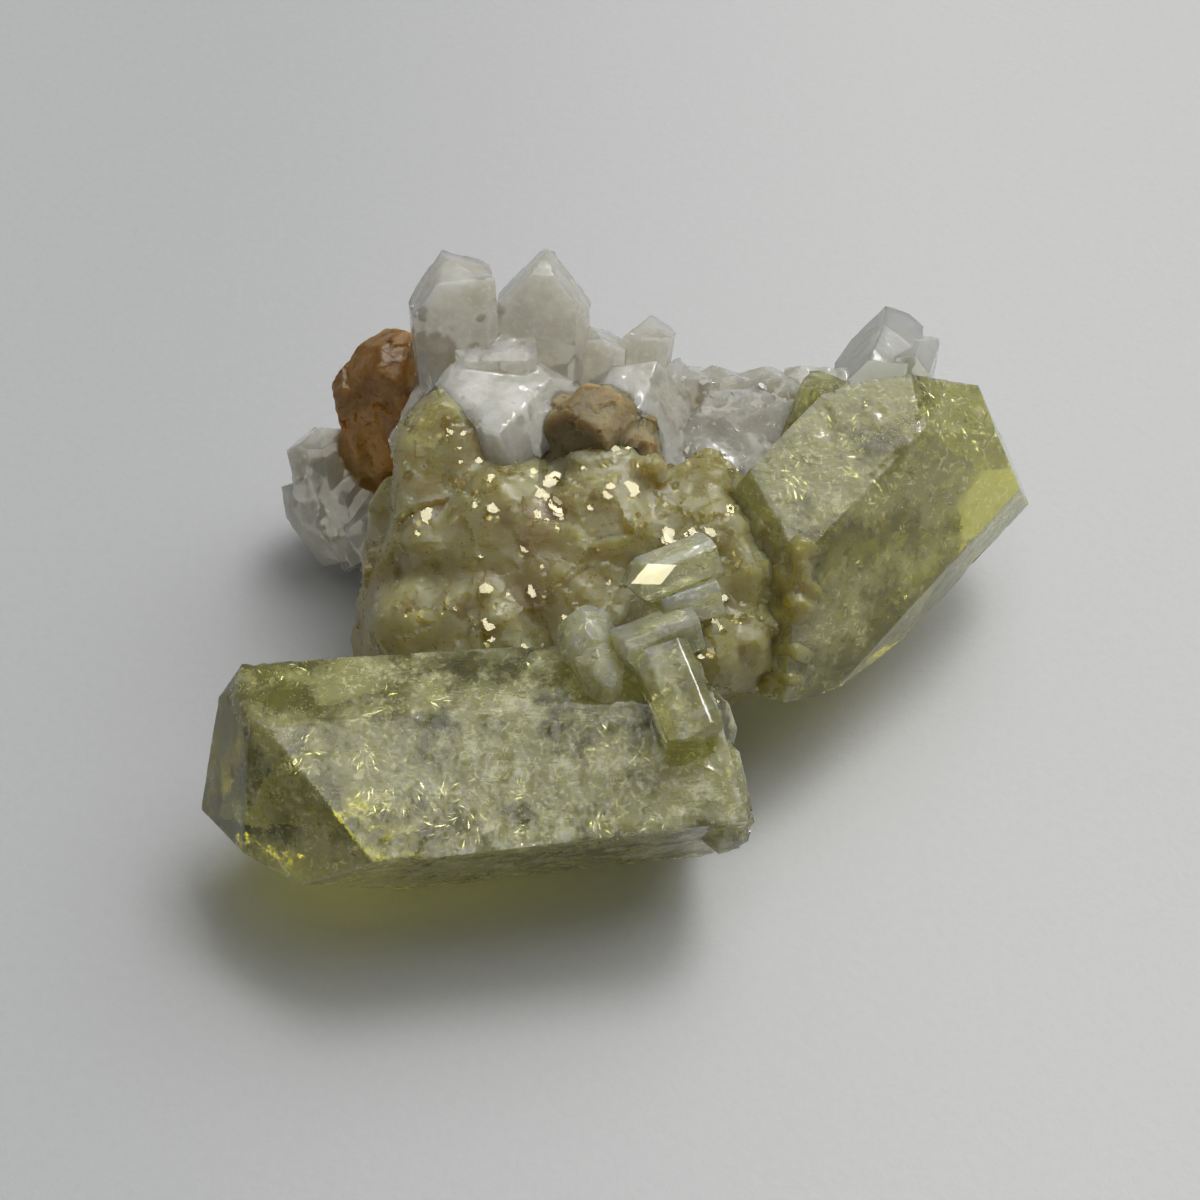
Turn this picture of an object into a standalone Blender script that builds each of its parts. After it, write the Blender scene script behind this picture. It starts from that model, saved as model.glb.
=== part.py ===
"""A hand specimen of brazilianite crystals on white albite, about 40 mm wide.

Two stout brazilianite prisms, a cluster of smaller ones and a few loose ones on top grow from a white
albite matrix with pointed blades. Iron-stained crystals stand at the back left and on the ridge.
Lengths are in millimetres in the tables and turned into metres when a crystal is placed.
X is to the right, Y to the back and Z up, and the specimen stands on its flat broken underside.
"""

import math
import random

import bmesh
import bpy
from mathutils import Euler, Matrix, Vector

MM = 0.001
GAP = 0.3  # left between two minerals that touch
BLANK = 80.0  # side of the cube that a crystal is cut from
UNDERSIDE = 0.0  # height of the broken base

# A face is (round, tilt, distance): degrees round the crystal's long axis, from its width towards its
# thickness, then degrees towards its far end, then millimetres from the crystal's centre.
FRONT_CRYSTAL = {
    "centre": (-5.5, -11.3, 6.3),
    "azimuth": 4.5,
    "rise": 0.0,
    "roll": 0.0,
    "faces": [
        (82.5, 0, 4.84),
        (87.6, 0, 4.72),
        (110.6, 0, 4.18),
        (173.4, 0, 5.7),
        (203.4, 3, 3.93),
        (262, 0, 4.2),
        (318, 0, 5.0),
        (12, 0, 5.3),
        (138.9, -34.2, 7.44),
        (132, -60.7, 10.06),
        (345, -30, 8.0),
        (78, -48, 11.16),
        (233, -22, 5.76),
        (20, 80, 10.9),
        (250, 62, 11.2),
    ],
}
RIGHT_CRYSTAL = {
    "centre": (10.4, 0.0, 9.2),
    "azimuth": 46.4,
    "rise": 14.0,
    "roll": 0.0,
    "faces": [
        (106.4, 0, 4.61),
        (152.4, 0, 3.33),
        (191.1, 0, 4.8),
        (22, 0, 4.91),
        (347.1, 0, 4.43),
        (308.8, 0, 4.5),
        (246.2, 0, 6.94),
        (127.1, 23.6, 6.56),
        (161.1, 54.4, 9.87),
        (11.1, 38.6, 6.43),
        (6.1, 27.3, 5.29),
        (265.1, -34.7, 4.23),
        (82.1, -46.2, 4.62),
    ],
}


def face_normal(round_deg, tilt_deg):
    """The outward normal of a crystal face, with the crystal's long axis along X."""
    around, tilt = math.radians(round_deg), math.radians(tilt_deg)
    side = math.cos(tilt)
    return Vector((math.sin(tilt), side * math.cos(around), side * math.sin(around)))


def standing(centre, azimuth, rise, roll=0.0):
    """The placement of a crystal whose long axis points at this azimuth and rises by this angle."""
    turn = Euler((math.radians(roll), -math.radians(rise), math.radians(azimuth)), "XYZ")
    return Matrix.Translation(Vector(centre)) @ turn.to_matrix().to_4x4()


def cut_block(faces, grow=0.0):
    """A cube cut down by one plane for each crystal face, each moved out by grow."""
    block = bmesh.new()
    bmesh.ops.create_cube(block, size=BLANK)
    for round_deg, tilt_deg, distance in faces:
        normal = face_normal(round_deg, tilt_deg)
        cut = bmesh.ops.bisect_plane(
            block,
            geom=block.verts[:] + block.edges[:] + block.faces[:],
            dist=1e-5,
            plane_co=normal * (distance + grow),
            plane_no=normal,
            clear_outer=True,
        )
        rim = [e for e in cut["geom_cut"] if isinstance(e, bmesh.types.BMEdge)]
        if rim:
            bmesh.ops.contextual_create(block, geom=rim)
    bmesh.ops.remove_doubles(block, verts=block.verts[:], dist=1e-3)
    bmesh.ops.recalc_face_normals(block, faces=block.faces[:])
    return block


def prism_faces(length, width, thickness, tips, bevel=0.82):
    """A prism from its foot at the origin: four sides, four bevels, a square foot and its tip faces.

    A tip is (round, tilt, share), and its distance is that share of the length along its own normal.
    """
    half_w, half_t = width / 2, thickness / 2
    corner = bevel * math.hypot(half_w, half_t)
    lean = math.degrees(math.atan2(half_w, half_t))
    faces = [(0, 0, half_w), (180, 0, half_w), (90, 0, half_t), (270, 0, half_t)]
    faces += [(side, 0, corner) for side in (lean, 180 - lean, 180 + lean, 360 - lean)]
    faces += [(0, -90, 0.0)]
    for round_deg, tilt_deg, share in tips:
        faces.append((round_deg, tilt_deg, share * length * math.sin(math.radians(tilt_deg))))
    return faces


def rough_faces(size, seed, count=14):
    """The faces of a blocky lump inside an ellipsoid of this size, by a seeded spiral of directions."""
    chance = random.Random(seed)
    golden = math.pi * (3 - math.sqrt(5))
    faces = []
    for k in range(count):
        height = 1 - 2 * (k + 0.5) / count
        tilt = math.degrees(math.asin(height)) + chance.uniform(-9, 9)
        around = math.degrees(golden * k) + chance.uniform(-16, 16)
        normal = face_normal(around, tilt)
        reach = math.hypot(*(s / 2 * n for s, n in zip(size, normal)))
        faces.append((around, tilt, reach * chance.uniform(0.84, 1.0)))
    return faces


def as_object(block, name, place, home):
    """The block as an object of this name in a collection, placed and turned into metres."""
    block.transform(Matrix.Scale(MM, 4) @ place)
    mesh = bpy.data.meshes.new(name)
    block.to_mesh(mesh)
    block.free()
    made = bpy.data.objects.new(name, mesh)
    home.objects.link(made)
    return made


def helper_home(name):
    """A hidden collection for cutters and for the pieces that a union takes up."""
    home = bpy.data.collections.new(name)
    home.hide_render = True
    bpy.context.scene.collection.children.link(home)
    return home


def helpers(pieces, name, grow=0.0):
    """One hidden wire object for each (faces, place), grown by grow, in a collection of its own."""
    home = helper_home(name)
    for number, (faces, place) in enumerate(pieces):
        made = as_object(cut_block(faces, grow), f"{name}_{number:02d}", place, home)
        made.hide_render = True
        made.display_type = "WIRE"
    return home


def add_boolean(target, operation, home):
    """A Boolean modifier on target with everything in the collection."""
    step = target.modifiers.new(operation.lower(), "BOOLEAN")
    step.operation = operation
    step.operand_type = "COLLECTION"
    step.collection = home
    step.solver = "EXACT"


def mineral(name, colour, roughness):
    """A plain Principled material for one mineral."""
    made = bpy.data.materials.new(name)
    made.use_nodes = True
    shader = made.node_tree.nodes["Principled BSDF"]
    shader.inputs["Base Color"].default_value = (*colour, 1.0)
    shader.inputs["Roughness"].default_value = roughness
    shader.inputs["Metallic"].default_value = 0.0
    return made


def front_pieces():
    """The large crystal along the front, with the knobs of its broken right end."""
    main = (FRONT_CRYSTAL["faces"], crystal_place(FRONT_CRYSTAL))
    knobs = [
        ((5.3, -13.0, 7.0), (2.6, 4.2, 3.0), 3),
        ((4.9, -12.0, 8.6), (2.6, 3.2, 3.0), 4),
        ((4.5, -9.9, 9.3), (3.2, 3.4, 2.8), 8),
    ]
    return [main] + [rough_piece(*knob) for knob in knobs]


def right_pieces():
    """The large crystal that rises to the back right, with a small one grown on its shoulder."""
    main = (RIGHT_CRYSTAL["faces"], crystal_place(RIGHT_CRYSTAL))
    shoulder = prism_piece((9.0, 3.8, 11.0), 58, 40, 5.4, 2.0, 2.0, TIP_CHISEL)
    return [main, shoulder]


def crystal_place(crystal):
    """Where a large crystal stands."""
    return standing(crystal["centre"], crystal["azimuth"], crystal["rise"], crystal["roll"])


def rough_piece(centre, size, seed, azimuth=0.0, rise=0.0, count=14):
    """A blocky lump at this centre, its long axis at this azimuth and rise."""
    return rough_faces(size, seed, count), standing(centre, azimuth, rise)


# round, tilt and reach of the faces that end a prism, the reach as a share of its length
TIP_CHISEL = [(90, 48, 0.93), (270, 52, 0.96), (20, 62, 1.0)]
TIP_POINT = [(0, 42, 0.96), (180, 38, 0.97), (90, 60, 0.98), (270, 64, 1.0)]
TIP_SLANT = [(0, 40, 1.0), (180, 68, 0.98), (90, 66, 0.97)]
TIP_BLUNT = [(60, 74, 0.97), (200, 66, 0.95), (310, 60, 0.98)]
TIP_SHOULDER = [(0, 34, 0.95), (180, 74, 0.97), (90, 68, 0.96)]


def prism_piece(foot, azimuth, rise, length, width, thickness, tips, roll=0.0):
    """A prism that stands on its foot and points at this azimuth and rise."""
    return prism_faces(length, width, thickness, tips), standing(foot, azimuth, rise, roll)


# centre and size of the lumps that make up the sloping face of the cluster, with a seed for each
CLUSTER_LUMPS = [
    ((-3.6, -1.8, 6.4), (14.0, 9.0, 12.0), 21),
    ((2.6, -2.6, 6.4), (11.0, 8.0, 11.0), 22),
    ((-5.6, -3.2, 8.6), (8.0, 7.6, 6.6), 23),
    ((-0.8, -3.4, 9.0), (8.0, 7.4, 6.6), 24),
    ((-4.2, -0.2, 11.0), (8.6, 7.4, 6.8), 25),
    ((0.4, 0.0, 11.2), (8.4, 7.2, 7.0), 26),
    ((4.2, -0.4, 10.6), (7.2, 6.4, 6.6), 27),
    ((-7.7, -0.5, 10.6), (5.2, 5.2, 5.4), 28),
    ((-8.3, -3.6, 8.8), (4.8, 5.0, 5.2), 29),
    ((-5.0, -5.8, 8.6), (8.0, 3.4, 4.2), 30),
    ((-0.6, -6.4, 9.0), (5.4, 3.8, 4.4), 31),
    ((3.6, -6.0, 9.2), (6.4, 5.0, 5.4), 32),
    ((6.3, -2.0, 10.6), (4.4, 5.4, 5.0), 33),
    ((6.2, -4.8, 8.4), (4.6, 4.6, 5.4), 34),
]


def cluster_pieces():
    """The mass of intergrown brazilianite between the two large crystals."""
    # foot, azimuth, rise, length, width, thickness, tip, roll
    columns = [
        ((-7.4, -1.2, 9.4), 92, 47, 9.3, 4.4, 3.6, TIP_POINT, 10),
        ((-10.4, 1.6, 0.8), 20, 84, 11.4, 3.0, 2.8, TIP_CHISEL, 20),
        ((-10.7, -0.8, 0.6), 15, 84, 10.4, 2.8, 2.6, TIP_SLANT, 0),
        ((-10.2, -3.2, 0.6), 25, 84, 9.2, 2.6, 2.6, TIP_CHISEL, 35),
        ((-9.2, -5.0, 0.8), 50, 84, 8.8, 2.6, 2.4, TIP_SLANT, 50),
        ((-11.3, 0.6, 0.5), 10, 86, 6.2, 2.2, 2.0, TIP_SLANT, 60),
        ((-6.0, 1.0, 9.8), 84, 50, 5.6, 3.6, 3.0, TIP_BLUNT, 0),
        ((0.2, -1.0, 9.6), 96, 52, 6.4, 3.6, 3.4, TIP_BLUNT, 25),
        ((4.4, -1.0, 9.2), 84, 50, 6.0, 3.4, 3.2, TIP_SLANT, -10),
    ]
    pieces = [rough_piece(*lump, count=22) for lump in CLUSTER_LUMPS]
    pieces += [prism_piece(*column) for column in columns]
    return pieces + druse_pieces()


def lump_top(lumps, x, y):
    """The height of the highest lump's ellipsoid over this spot, or None beside them all."""
    tops = []
    for (cx, cy, cz), (sx, sy, sz), _ in lumps:
        left = 1 - ((x - cx) * 2 / sx) ** 2 - ((y - cy) * 2 / sy) ** 2
        if left > 0:
            tops.append(cz + sz / 2 * math.sqrt(left))
    return max(tops, default=None)


def druse_pieces():
    """Many small crystals seeded over the sloping face of the cluster."""
    chance = random.Random(7)
    pieces = []
    for k in range(46):
        x = -9.6 + 16.4 * ((k * 0.618 + chance.uniform(-0.03, 0.03)) % 1.0)
        y = -6.8 + 9.0 * chance.random()
        top = lump_top(CLUSTER_LUMPS, x, y)
        azimuth, rise = 80 + chance.uniform(-60, 60), 55 + chance.uniform(-30, 25)
        length, width = chance.uniform(1.7, 2.5), chance.uniform(0.9, 1.7)
        tip = chance.choice([TIP_CHISEL, TIP_POINT, TIP_SLANT, TIP_BLUNT])
        thickness, roll = width * chance.uniform(0.7, 0.95), chance.uniform(0, 90)
        if top is not None and top > 9.5:
            foot = (x, y, top - 1.5)
            pieces.append(prism_piece(foot, azimuth, rise, length, width, thickness, tip, roll))
    return pieces


def small_pieces():
    """The loose small prisms grown across each other where the large crystals meet."""
    return [
        prism_piece((5.0, -4.1, 14.2), 206, -3, 4.4, 2.0, 1.8, TIP_CHISEL, 30),
        prism_piece((5.2, -5.4, 13.0), 200, -4, 3.0, 1.8, 1.8, TIP_BLUNT, 20),
        prism_piece((4.2, -7.0, 12.6), 205, -3, 4.0, 2.0, 2.0, TIP_BLUNT, 20),
        rough_piece((-0.6, -7.4, 12.1), (3.0, 2.7, 2.6), 71, 80, 0, 26),
        rough_piece((-0.1, -8.8, 11.7), (3.3, 2.3, 2.3), 72, 118, 6, 26),
        prism_piece((2.7, -8.4, 12.3), 291, -14, 4.9, 2.5, 2.2, TIP_BLUNT, 8),
        prism_piece((3.4, -4.4, 10.0), 250, 32, 4.6, 3.4, 3.0, TIP_POINT, 0),
    ]


def stained_pieces():
    """The two iron-brown crystals at the back left."""
    return [
        rough_piece((-10.7, 9.3, 9.7), (9.6, 3.8, 3.6), 51, 62, 78),
        prism_piece((-10.5, 7.5, 9.6), 24, 64, 6.8, 1.5, 1.2, TIP_CHISEL, 0),
        rough_piece((-11.6, 9.2, 8.4), (5.2, 2.8, 3.0), 53, 110, 72),
    ]


def knob_pieces():
    """The iron-brown knob that sits in the ridge above the cluster."""
    return [
        rough_piece((-0.4, 3.5, 13.9), (4.2, 3.8, 5.4), 61),
        rough_piece((1.2, 2.9, 13.0), (2.8, 3.2, 4.4), 62),
    ]


def clear_pieces():
    """The colourless stubby prism behind the large right crystal."""
    return [
        prism_piece((13.6, 9.8, 4.0), 82, 79, 9.7, 4.2, 3.8, TIP_SHOULDER, 0),
        prism_piece((15.3, 9.6, 5.6), 74, 79, 7.6, 1.8, 3.2, TIP_SLANT, 180),
    ]


def albite_pieces():
    """The white matrix: broken ground mass, the sloping ridge, its pointed blades and the left knob."""
    ground = [
        ((-2.5, 1.6, 4.0), (17.6, 14.0, 10.0), 41),
        ((4.2, 3.4, 4.0), (11.6, 10.0, 9.4), 42),
        ((-4.0, -5.6, 2.2), (14.0, 8.6, 6.0), 43),
        ((-4.8, 5.2, 10.6), (9.6, 8.6, 12.4), 44),
        ((1.4, 6.0, 9.2), (8.6, 7.6, 12.6), 45),
        ((7.6, 5.6, 7.2), (12.4, 7.4, 12.2), 46),
        ((12.0, 8.0, 4.4), (7.6, 6.4, 7.6), 47),
        ((-12.9, 9.2, 3.7), (4.4, 5.4, 6.2), 48),
        ((-8.8, 7.4, 3.2), (9.0, 6.4, 6.2), 49),
    ]
    # foot, azimuth, rise, length, width, thickness, tip, roll
    blades = [
        ((-6.5, 5.8, 11.2), 100, 66, 9.3, 4.0, 2.8, TIP_SLANT, 0),
        ((-2.9, 6.2, 11.0), 86, 64, 9.6, 4.4, 3.0, TIP_POINT, 0),
        ((-4.8, 4.0, 10.8), 92, 58, 7.4, 3.8, 2.6, TIP_CHISEL, 0),
        ((-0.9, 5.6, 10.4), 78, 60, 6.6, 3.4, 2.8, TIP_BLUNT, 0),
        ((1.2, 5.4, 9.8), 74, 56, 7.4, 2.6, 2.4, TIP_SLANT, 0),
        ((2.2, 5.0, 9.2), 66, 54, 6.4, 2.4, 2.4, TIP_POINT, 0),
        ((4.2, 5.8, 8.9), 84, 62, 5.6, 2.8, 2.6, TIP_BLUNT, 0),
        ((6.0, 5.8, 8.6), 96, 60, 5.8, 3.2, 2.4, TIP_BLUNT, 0),
        ((8.0, 6.0, 8.4), 88, 62, 5.8, 3.4, 2.4, TIP_BLUNT, 0),
        ((10.2, 6.0, 8.2), 84, 60, 6.0, 3.0, 2.6, TIP_CHISEL, 0),
        ((-13.2, 7.6, 2.2), 108, 62, 6.2, 3.4, 3.4, TIP_BLUNT, 20),
        ((-12.9, 7.2, 1.8), 150, 50, 4.4, 3.0, 3.0, TIP_SLANT, 0),
        ((-11.4, 6.6, 1.6), 120, 35, 5.0, 3.6, 3.2, TIP_BLUNT, 0),
    ]
    pieces = [rough_piece(*lump) for lump in ground]
    return pieces + [prism_piece(*blade) for blade in blades]


def build_node(name, pieces, neighbours, finish, home):
    """One solid: the union of its pieces, less its grown neighbours, on the flat underside."""
    faces, place = pieces[0]
    made = as_object(cut_block(faces), name, place, home)
    if len(pieces) > 1:
        add_boolean(made, "UNION", helpers(pieces[1:], f"{name}_pieces"))
    if neighbours:
        add_boolean(made, "DIFFERENCE", helpers(neighbours, f"{name}_neighbours", GAP))
    made.data.materials.append(finish)
    return made


def underside_cutter():
    """A slab below the underside, which gives the specimen its flat resting face."""
    slab = [(270, 0, BLANK / 2), (90, 0, UNDERSIDE - GAP)]
    return slab, Matrix.Identity(4)


def body_of(start):
    """Every vertex joined to this one through edges."""
    found, waiting = {start}, [start]
    while waiting:
        for edge in waiting.pop().link_edges:
            for vert in edge.verts:
                if vert not in found:
                    found.add(vert)
                    waiting.append(vert)
    return found


def main_body_only(node):
    """Applies the node's modifiers and drops the chips that its neighbours cut loose."""
    graph = bpy.context.evaluated_depsgraph_get()
    baked = bpy.data.meshes.new_from_object(node.evaluated_get(graph))
    node.modifiers.clear()
    node.data = baked
    work = bmesh.new()
    work.from_mesh(baked)
    left, bodies = set(work.verts), []
    while left:
        bodies.append(body_of(next(iter(left))))
        left -= bodies[-1]
    bodies.sort(key=len)
    chips = [vert for body in bodies[:-1] for vert in body]
    bmesh.ops.delete(work, geom=chips, context="VERTS")
    bmesh.ops.dissolve_limit(
        work,
        angle_limit=math.radians(0.1),
        use_dissolve_boundaries=False,
        verts=work.verts[:],
        edges=work.edges[:],
    )
    work.to_mesh(baked)
    work.free()


def stand_on_origin(nodes):
    """Moves every node so that the specimen's box stands centred on the origin."""
    points = [v.co for node in nodes for v in node.data.vertices]
    low = Vector([min(p[k] for p in points) for k in range(3)])
    high = Vector([max(p[k] for p in points) for k in range(3)])
    shift = Vector((-(low.x + high.x) / 2, -(low.y + high.y) / 2, -low.z))
    for node in nodes:
        node.location = shift


def main():
    for thing in list(bpy.data.objects):
        bpy.data.objects.remove(thing)
    home = bpy.data.collections.new("brazilianite_on_albite")
    bpy.context.scene.collection.children.link(home)
    olive = mineral("brazilianite", (0.36, 0.36, 0.10), 0.12)
    pale_olive = mineral("brazilianite_cluster", (0.42, 0.38, 0.17), 0.3)
    white = mineral("albite", (0.72, 0.70, 0.64), 0.4)
    brown = mineral("stained_albite", (0.26, 0.14, 0.04), 0.4)
    clear = mineral("clear_albite", (0.80, 0.81, 0.78), 0.2)

    front, right, small = front_pieces(), right_pieces(), small_pieces()
    cluster, stained, knob, colourless = cluster_pieces(), stained_pieces(), knob_pieces(), clear_pieces()
    base = [underside_cutter()]
    nodes = [
        build_node("brazilianite_front_crystal", front, [], olive, home),
        build_node("brazilianite_right_crystal", right, front, olive, home),
        build_node("brazilianite_small_crystals", small, front + right, pale_olive, home),
        build_node("brazilianite_cluster", cluster, front + right + small + base, pale_olive, home),
        build_node("stained_albite_knob", knob, cluster + right + small, brown, home),
        build_node("stained_albite_crystals", stained, cluster + knob, brown, home),
        build_node("clear_albite_crystal", colourless, right + base, clear, home),
    ]
    around = front + right + small + cluster + knob + stained + colourless + base
    nodes.append(build_node("albite_matrix", albite_pieces(), around, white, home))
    bpy.context.view_layer.update()
    for node in nodes:
        main_body_only(node)
    for thing in list(bpy.data.objects):
        if thing not in nodes:
            bpy.data.objects.remove(thing)
    stand_on_origin(nodes)


if __name__ == "__main__":
    main()
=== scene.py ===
import math

import bmesh
import bpy
import numpy as np
from mathutils import Euler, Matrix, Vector
from mathutils.bvhtree import BVHTree


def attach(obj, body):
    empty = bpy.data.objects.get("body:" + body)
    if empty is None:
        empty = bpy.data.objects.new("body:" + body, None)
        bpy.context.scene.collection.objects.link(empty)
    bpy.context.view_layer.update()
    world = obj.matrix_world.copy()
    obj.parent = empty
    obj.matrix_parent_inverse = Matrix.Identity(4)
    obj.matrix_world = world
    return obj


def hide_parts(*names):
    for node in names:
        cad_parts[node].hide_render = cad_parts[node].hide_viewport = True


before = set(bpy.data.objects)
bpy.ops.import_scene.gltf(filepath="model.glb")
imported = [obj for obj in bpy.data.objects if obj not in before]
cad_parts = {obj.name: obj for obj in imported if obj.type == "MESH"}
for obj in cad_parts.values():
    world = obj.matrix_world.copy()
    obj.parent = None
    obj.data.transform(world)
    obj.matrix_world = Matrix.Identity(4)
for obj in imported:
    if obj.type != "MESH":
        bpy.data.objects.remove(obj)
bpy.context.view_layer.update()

MM = 0.001
GAP = 0.3  # millimetres between two minerals of the CAD part

# The part's own origin in the coordinates that the crystals were laid out in, in millimetres
LAYOUT_SHIFT = Vector((-1.484, 1.887, 0.0))


def lattice(points, seed):
    """Smooth random values from -1 to 1, one for each point, that change over about one unit."""
    table = np.random.default_rng(seed).uniform(-1, 1, 4096)
    base = np.floor(points).astype(np.int64)
    part = points - base
    blend = part * part * (3 - 2 * part)
    total = np.zeros(len(points))
    for corner in np.ndindex(2, 2, 2):
        cell = base + corner
        code = (cell[:, 0] * 73856093) ^ (cell[:, 1] * 19349663) ^ (cell[:, 2] * 83492791)
        weight = np.prod(np.where(np.array(corner) == 1, blend, 1 - blend), axis=1)
        total += table[code & 4095] * weight
    return total


def noise(points, size, seed, octaves=3):
    """Layered smooth noise from about -1 to 1 whose largest features are about size millimetres."""
    scaled, total, share = points / (size * MM), 0, 1.0
    for k in range(octaves):
        total = total + share * lattice(scaled * 2**k + 17.3 * k, seed + k)
        share *= 0.5
    return total / (2 - 2 * share)


def facets(points, size, seed):
    """A broken surface of small tilted planes: a height from about -1 to 1 for each point."""
    scaled = points / (size * MM)
    base = np.floor(scaled).astype(np.int64)
    chance = np.random.default_rng(seed)
    place, lean, level = chance.random((4096, 3)), chance.normal(size=(4096, 3)), chance.uniform(-1, 1, 4096)
    best = np.full(len(points), 1e9)
    height = np.zeros(len(points))
    for step in np.ndindex(3, 3, 3):
        cell = base + np.array(step) - 1
        code = ((cell[:, 0] * 73856093) ^ (cell[:, 1] * 19349663) ^ (cell[:, 2] * 83492791)) & 4095
        away = scaled - (cell + place[code])
        far = np.einsum("ij,ij->i", away, away)
        near = far < best
        best = np.where(near, far, best)
        height = np.where(near, 0.5 * level[code] + 0.6 * np.einsum("ij,ij->i", away, lean[code]), height)
    return np.clip(height, -1.3, 1.3)


def ease(value, low, high):
    """0 below low, 1 above high, and smooth between."""
    t = np.clip((value - low) / (high - low), 0, 1)
    return t * t * (3 - 2 * t)


def linked(name, mesh):
    """A new object in the scene."""
    made = bpy.data.objects.new(name, mesh)
    bpy.context.scene.collection.objects.link(made)
    return made


def fused(name, voxel, *parts):
    """One closed mesh of even quads around everything in these meshes."""
    work = bmesh.new()
    for part in parts:
        work.from_mesh(part)
    mesh = bpy.data.meshes.new(name)
    work.to_mesh(mesh)
    work.free()
    made = linked(name, mesh)
    step = made.modifiers.new("even", "REMESH")
    step.mode = "VOXEL"
    step.voxel_size = voxel * MM
    step.use_smooth_shade = True
    graph = bpy.context.evaluated_depsgraph_get()
    baked = bpy.data.meshes.new_from_object(made.evaluated_get(graph))
    made.modifiers.clear()
    made.data = baked
    baked.materials.clear()
    return made


def welded(node):
    """A CAD node's mesh with its doubled corners joined."""
    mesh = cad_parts[node].data.copy()
    weld = bmesh.new()
    weld.from_mesh(mesh)
    bmesh.ops.remove_doubles(weld, verts=weld.verts[:], dist=1e-6)
    weld.to_mesh(mesh)
    weld.free()
    return mesh


def fine_copy(node, name, step, azimuth=0.0, rise=0.0, bevel=0.0):
    """A copy of a CAD node, its edges bevelled, cut into a fine mesh along the crystal's axis."""
    work = bmesh.new()
    work.from_mesh(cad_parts[node].data)
    bmesh.ops.remove_doubles(work, verts=work.verts[:], dist=1e-6)
    if bevel:
        bmesh.ops.dissolve_limit(work, angle_limit=math.radians(1), verts=work.verts[:], edges=work.edges[:])
        sharp = [e for e in work.edges if len(e.link_faces) == 2 and e.calc_face_angle() > math.radians(12)]
        bmesh.ops.bevel(
            work, geom=sharp, offset=bevel * MM, segments=1, profile=0.5, affect="EDGES", clamp_overlap=True
        )
        bmesh.ops.triangulate(work, faces=work.faces[:])
    turn = Euler((0.0, -math.radians(rise), math.radians(azimuth)), "XYZ").to_matrix()
    for k in range(3):
        axis = turn.col[k]
        reach = [v.co.dot(axis) for v in work.verts]
        for level in np.arange(min(reach), max(reach), step * MM)[1:]:
            bmesh.ops.bisect_plane(
                work,
                geom=work.verts[:] + work.edges[:] + work.faces[:],
                dist=1e-7,
                plane_co=axis * level,
                plane_no=axis,
            )
    bmesh.ops.remove_doubles(work, verts=work.verts[:], dist=0.02 * MM)
    bmesh.ops.triangulate(work, faces=work.faces[:])
    mesh = bpy.data.meshes.new(name)
    work.to_mesh(mesh)
    work.free()
    return linked(name, mesh)


def crisp(made, angle=24.0):
    """Smooth shading with an edge wherever two faces meet at more than this angle."""
    smooth(made)
    made.data.set_sharp_from_angle(angle=math.radians(angle))


def read_points(made):
    """The object's vertices and their normals as arrays."""
    mesh = made.data
    count = len(mesh.vertices)
    points, normals = np.empty(count * 3), np.empty(count * 3)
    mesh.vertices.foreach_get("co", points)
    mesh.vertex_normals.foreach_get("vector", normals)
    return points.reshape(-1, 3), normals.reshape(-1, 3)


def write_points(made, points):
    """Moves the object's vertices to these points."""
    made.data.vertices.foreach_set("co", np.asarray(points, float).ravel())
    made.data.update()


def cad_tree(*names):
    """A search tree over these CAD nodes."""
    points, polygons = [], []
    for name in names:
        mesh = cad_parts[name].data
        start = len(points)
        points += [v.co.copy() for v in mesh.vertices]
        polygons += [[start + k for k in p.vertices] for p in mesh.polygons]
    return BVHTree.FromPolygons(points, polygons)


def soften(made, steps, share=0.5):
    """Evens out the object's surface, a little more with every step."""
    mesh = made.data
    count, ends = len(mesh.vertices), np.empty(len(mesh.edges) * 2, np.int64)
    mesh.edges.foreach_get("vertices", ends)
    first, second = ends.reshape(-1, 2).T
    points = read_points(made)[0]
    around = np.bincount(first, minlength=count) + np.bincount(second, minlength=count)
    for _ in range(steps):
        for k in range(3):
            total = np.bincount(first, points[second, k], count) + np.bincount(second, points[first, k], count)
            points[:, k] += share * (total / around - points[:, k])
    write_points(made, points)


def bond(made, *neighbours):
    """Closes the gap to its neighbours, so that the minerals meet as grown."""
    tree = cad_tree(*neighbours)
    points, normals = read_points(made)
    reach = 2.2 * GAP * MM
    for k, (point, normal) in enumerate(zip(points.copy(), normals)):
        hit, _, _, far = tree.find_nearest(Vector(point), reach)
        if hit is None or far < 1e-7:
            continue
        way = (np.array(hit) - point) / far
        facing = min(max((way @ normal - 0.1) / 0.5, 0.0), 1.0)
        near = min(max((reach - far) / (reach - 1.3 * GAP * MM), 0.0), 1.0)
        points[k] += way * (far + 0.12 * MM) * facing * near
    write_points(made, points)


def sharp_edges(node, least=12.0):
    """Both ends of each of a CAD node's sharp edges, as an array."""
    mesh = bmesh.new()
    mesh.from_mesh(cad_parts[node].data)
    bmesh.ops.remove_doubles(mesh, verts=mesh.verts[:], dist=1e-6)
    ends = [
        [e.verts[0].co[:], e.verts[1].co[:]]
        for e in mesh.edges
        if len(e.link_faces) == 2 and e.calc_face_angle() > math.radians(least)
    ]
    mesh.free()
    return np.array(ends)


def edge_distance(points, edges):
    """How far each point is from the nearest of these edges."""
    best = np.full(len(points), 1.0)
    for start, end in edges:
        along = end - start
        t = np.clip((points - start) @ along / max(along @ along, 1e-12), 0, 1)
        best = np.minimum(best, np.linalg.norm(points - start - t[:, None] * along, axis=1))
    return best


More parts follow.
